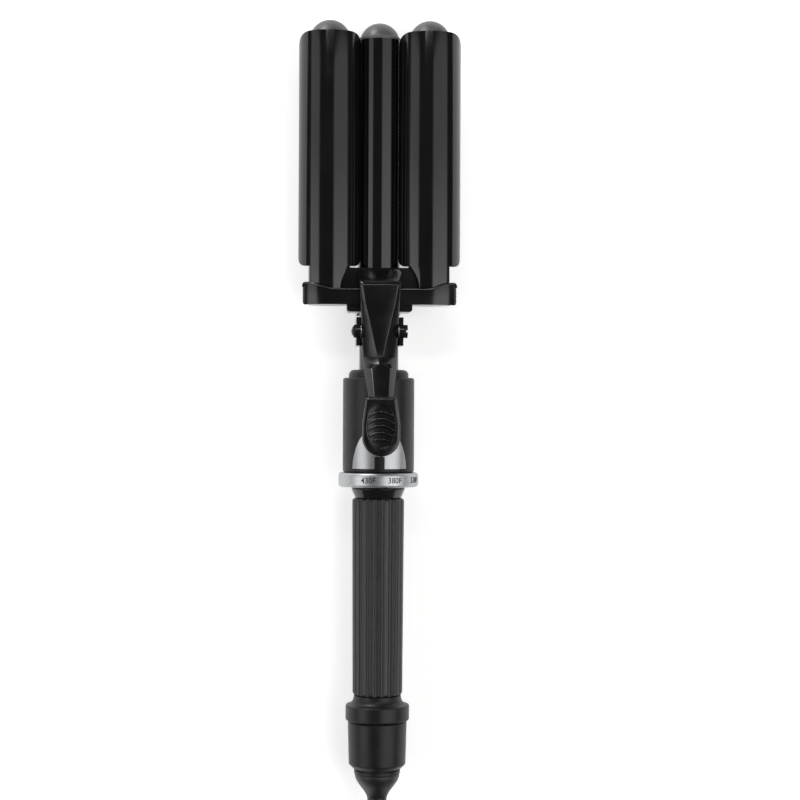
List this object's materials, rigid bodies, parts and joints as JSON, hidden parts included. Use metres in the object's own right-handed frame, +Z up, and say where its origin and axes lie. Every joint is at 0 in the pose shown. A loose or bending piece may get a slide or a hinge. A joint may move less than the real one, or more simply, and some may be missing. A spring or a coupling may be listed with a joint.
{
  "type": "hair waver",
  "caption": "Three-barrel hair waver: a sprung thumb lever opens two curved clamp plates; dial ring, fluted grip, swivel cord with coil and plug.",
  "frame": {"origin": "on the surface that the tool lies on, under the middle of the tool's length and width, the cord left out", "axes": "+Y towards the barrel tips, +Z up, towards the thumb lever; the tool's long axis lies along Y, 19.9 mm above the surface"},
  "size_m": [0.1102, 0.5909, 0.0576],
  "materials": {
    "black_ceramic_coat": "glossy black baked coat on aluminium and steel",
    "grey_tip_plastic": "satin grey heat-proof moulding",
    "aluminium": "extruded",
    "black_enamel_steel": "semi-gloss black stove enamel on steel",
    "steel": "bright zinc plated",
    "soft_touch_plastic": "soft-touch black lacquer on ABS",
    "gloss_black_plastic": "polished black ABS",
    "grip_rubber": "matte dark grey fluted rubber",
    "satin_silver": "satin silver",
    "lamp_red": "translucent red lens",
    "circuit_board": "green solder mask",
    "resistor_track": "phenolic board with a track",
    "brass": "rolled",
    "core_plastic": "glass-filled nylon tube",
    "wire_insulation": "glass-fibre sleeved wire",
    "black_pvc": "flexible black PVC",
    "tie_fabric": "woven hook-and-loop tape"
  },
  "bodies": {
    "iron": {"left_barrel": "black_ceramic_coat", "center_barrel": "black_ceramic_coat", "right_barrel": "black_ceramic_coat", "left_tip": "grey_tip_plastic", "center_tip": "grey_tip_plastic", "right_tip": "grey_tip_plastic", "left_heater": "aluminium", "center_heater": "aluminium", "right_heater": "aluminium", "barrel_yoke": "black_enamel_steel", "yoke_base": "black_enamel_steel", "neck_post": "black_enamel_steel", "pivot_bracket": "black_enamel_steel", "pivot_screw": "steel", "pivot_nut": "steel", "pivot_washers": "steel", "clamp_spring": "steel", "housing_cap": "soft_touch_plastic", "control_housing": "soft_touch_plastic", "silver_plate": "satin_silver", "switch_frame": "gloss_black_plastic", "indicator_lamp": "lamp_red", "control_board": "circuit_board", "rheostat": "resistor_track", "neck_cone": "gloss_black_plastic", "handle_core": "core_plastic", "grip_sleeve": "grip_rubber", "tail_collar": "soft_touch_plastic", "tail_cap": "soft_touch_plastic", "contact_block": "brass", "supply_wires": "wire_insulation", "heater_wires": "wire_insulation", "cord": "black_pvc", "cord_coil": "black_pvc", "cord_end": "black_pvc", "cord_tie": "tie_fabric", "plug_body": "black_pvc", "plug_blades": "brass"},
    "clamp": {"thumb_lever": "black_enamel_steel", "thumb_pad": "gloss_black_plastic", "pad_insert": "gloss_black_plastic", "cross_bracket": "black_enamel_steel", "left_clamp_plate": "black_ceramic_coat", "right_clamp_plate": "black_ceramic_coat", "clamp_rivets": "steel"},
    "dial": {"dial_ring": "satin_silver", "dial_wiper": "brass"},
    "swivel": {"cord_swivel": "black_pvc", "swivel_ring": "soft_touch_plastic"},
    "switch": {"power_rocker": "gloss_black_plastic"},
    "stand": {"stand": "steel"}
  },
  "joints": [
    {"name": "clamp_pivot", "type": "hinge", "parent": "iron", "child": "clamp", "pos_m": [0, 0.0538, 0.0337], "axis": [1, 0, 0], "range_deg": [0, 12.5], "stiffness_Nm_per_rad": 1, "springref_deg": -11.46, "deforming": ["clamp_spring"]},
    {"name": "dial_turn", "type": "hinge", "parent": "iron", "child": "dial", "pos_m": [0, -0.01965, 0.0199], "axis": [0, 1, 0], "range_deg": [-139.5, 16.5]},
    {"name": "cord_swivel_turn", "type": "hinge", "parent": "iron", "child": "swivel", "pos_m": [0, -0.16395, 0.0199], "axis": [0, 1, 0], "continuous": true},
    {"name": "power_switch", "type": "hinge", "parent": "iron", "child": "switch", "pos_m": [0, 0.0091, 0.0047], "axis": [1, 0, 0], "range_deg": [-12, 0]},
    {"name": "stand_fold", "type": "hinge", "parent": "iron", "child": "stand", "pos_m": [0, 0.06375, 0.00365], "axis": [-1, 0, 0], "range_deg": [0, 100]}
  ]
}
